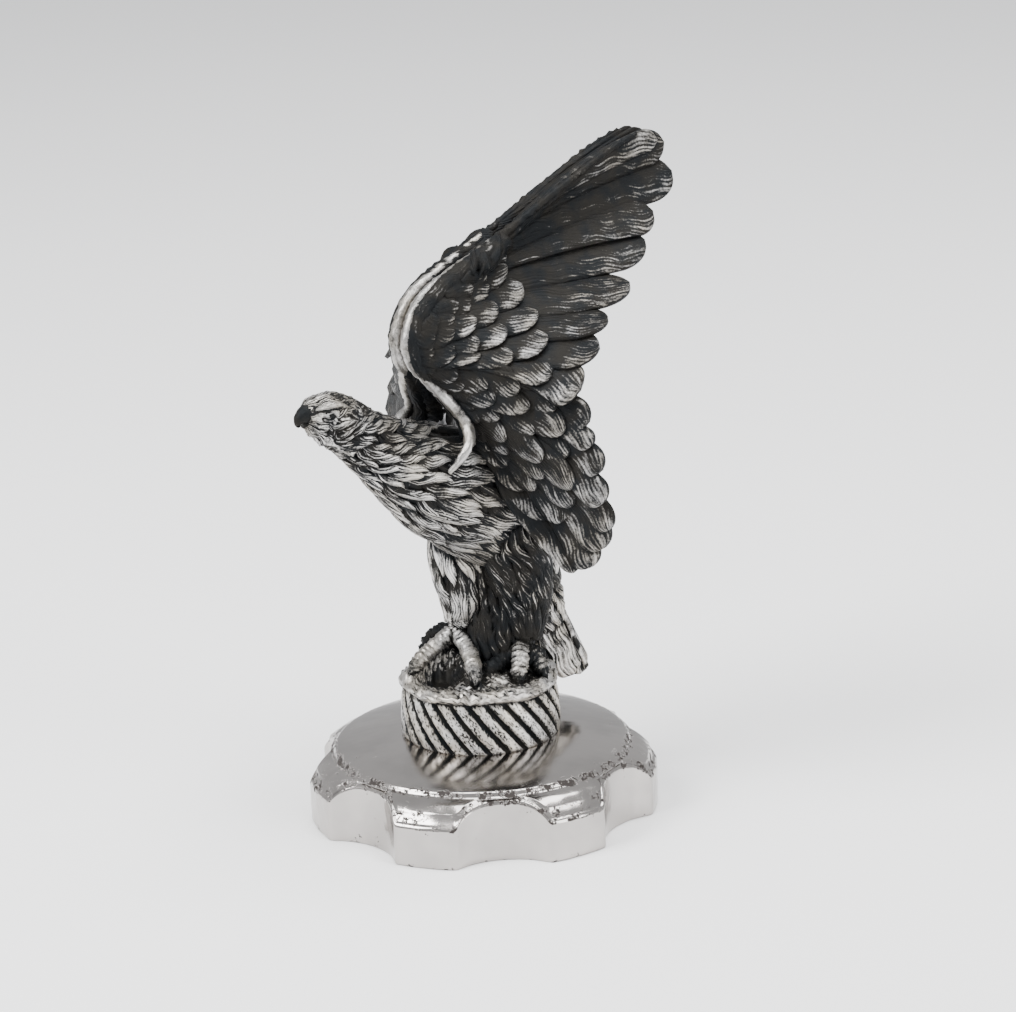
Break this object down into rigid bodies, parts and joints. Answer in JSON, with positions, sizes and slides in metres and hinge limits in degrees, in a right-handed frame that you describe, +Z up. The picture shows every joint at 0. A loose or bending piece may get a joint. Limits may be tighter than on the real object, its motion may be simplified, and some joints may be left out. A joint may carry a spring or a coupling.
{
  "type": "hood ornament",
  "caption": "Antiqued cast eagle with raised wings on a rock and fluted collar, bolted to a lobed screw-on radiator cap.",
  "frame": {"origin": "on the cap axis, in the plane of the skirt's lower rim, which is also the mouth of the neck thread", "axes": "+Z up along the cap axis; the eagle looks along -Y; +X is the eagle's left side"},
  "size_m": [0.0756, 0.1015, 0.1439],
  "materials": {
    "nickel_plate": "satin nickel plate, pitted and flaked at the edges",
    "antique_silver": "cast white metal, silvered, black patina in the recesses",
    "plain_brass": "dull machined brass",
    "gasket_rubber": "matt",
    "fastener_steel": "zinc plated, dull",
    "red_fibre": "vulcanised fibre, matt"
  },
  "bodies": {
    "cap": {"cap_shell": "nickel_plate", "neck_ring": "plain_brass", "gasket": "gasket_rubber"},
    "mascot": {"base_collar": "antique_silver", "perch_rock": "antique_silver", "eagle_body": "antique_silver", "left_wing": "antique_silver", "right_wing": "antique_silver", "left_wing_pin": "fastener_steel", "right_wing_pin": "fastener_steel", "left_foot": "antique_silver", "right_foot": "antique_silver", "mascot_stud": "fastener_steel", "seal_washer": "red_fibre", "clamp_washer": "fastener_steel", "lock_washer": "fastener_steel", "clamp_nut": "fastener_steel"}
  },
  "joints": [
    {"name": "mascot_swivel", "type": "hinge", "parent": "cap", "child": "mascot", "pos_m": [0, 0, 0.0175], "axis": [0, 0, 1], "continuous": true}
  ]
}
